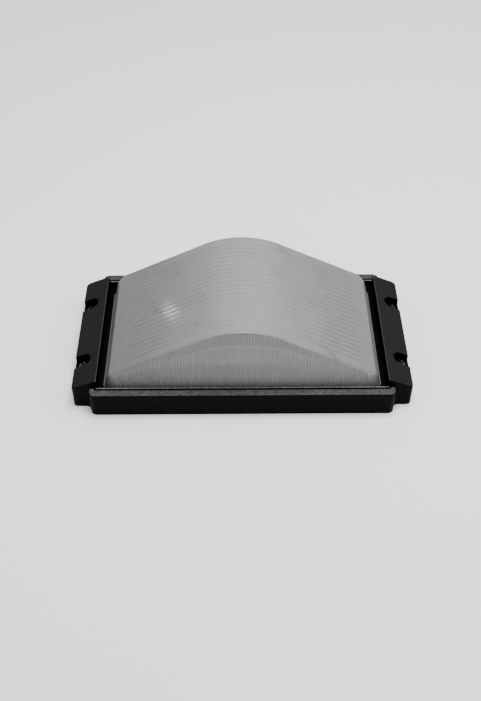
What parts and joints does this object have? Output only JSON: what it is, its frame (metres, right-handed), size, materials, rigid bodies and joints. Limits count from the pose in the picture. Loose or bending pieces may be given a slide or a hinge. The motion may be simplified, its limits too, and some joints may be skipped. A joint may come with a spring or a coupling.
{
  "type": "wall pack light",
  "caption": "Surface-mounted wall pack light: black die-cast tray and winged frame round a humped prismatic lens, with compact lamps, control gear and terminals inside.",
  "frame": {"origin": "centre of the mounting face, on the wall plane", "axes": "+Z out of the wall through the lens, +X along the light's length, +Y across it"},
  "size_m": [0.36, 0.19, 0.1018],
  "materials": {
    "black_casting": "black powder-coated die casting, fine texture, satin",
    "frosted_lens": "frosted prismatic polycarbonate",
    "black_rubber": "matt foamed rubber",
    "clear_silicone": "satin silicone bead",
    "plated_screw": "yellow zinc-plated steel",
    "white_nylon": "grey nylon sealing washer",
    "white_enamel": "gloss white enamel on steel sheet",
    "zinc_screw": "bright zinc-plated steel",
    "brass": "plain brass",
    "ballast_can": "bare aluminium can",
    "cream_moulding": "cream thermoset moulding",
    "lead_blue": "insulated wire",
    "grey_sleeve": "silicone-glass sleeving",
    "lead_green": "green and yellow insulated wire",
    "spring_steel": "bright spring steel strip",
    "white_moulding": "white heat-resistant moulding",
    "lamp_glass": "white phosphor-coated glass tube"
  },
  "bodies": {
    "base": {"housing": "black_casting", "housing_gasket": "black_rubber", "cable_grommet": "black_rubber", "gear_tray": "white_enamel", "tray_screws": "zinc_screw", "ballast": "ballast_can", "gear_screws": "zinc_screw", "terminal_block": "cream_moulding", "terminal_clamps": "brass", "earth_screw": "brass", "supply_leads": "lead_blue", "lamp_leads": "grey_sleeve", "earth_lead": "lead_green", "holder_screws": "zinc_screw", "lamp_clips": "spring_steel", "lampholder_left": "white_moulding", "lampholder_right": "white_moulding"},
    "cover": {"front_frame": "black_casting", "lens": "frosted_lens", "lens_seal": "clear_silicone", "frame_screws": "plated_screw", "screw_washers": "white_nylon"},
    "lamp_left": {"lamp_left_base": "white_moulding", "lamp_left_tubes": "lamp_glass", "lamp_left_pins": "brass"},
    "lamp_right": {"lamp_right_base": "white_moulding", "lamp_right_tubes": "lamp_glass", "lamp_right_pins": "brass"}
  },
  "joints": [
    {"name": "cover_lift", "type": "slide", "parent": "base", "child": "cover", "axis": [0, 0, 1], "range_m": [0, 0.12]},
    {"name": "lamp_left_pull", "type": "slide", "parent": "base", "child": "lamp_left", "axis": [1, 0, 0], "range_m": [0, 0.02]},
    {"name": "lamp_right_pull", "type": "slide", "parent": "base", "child": "lamp_right", "axis": [-1, 0, 0], "range_m": [0, 0.02]}
  ]
}
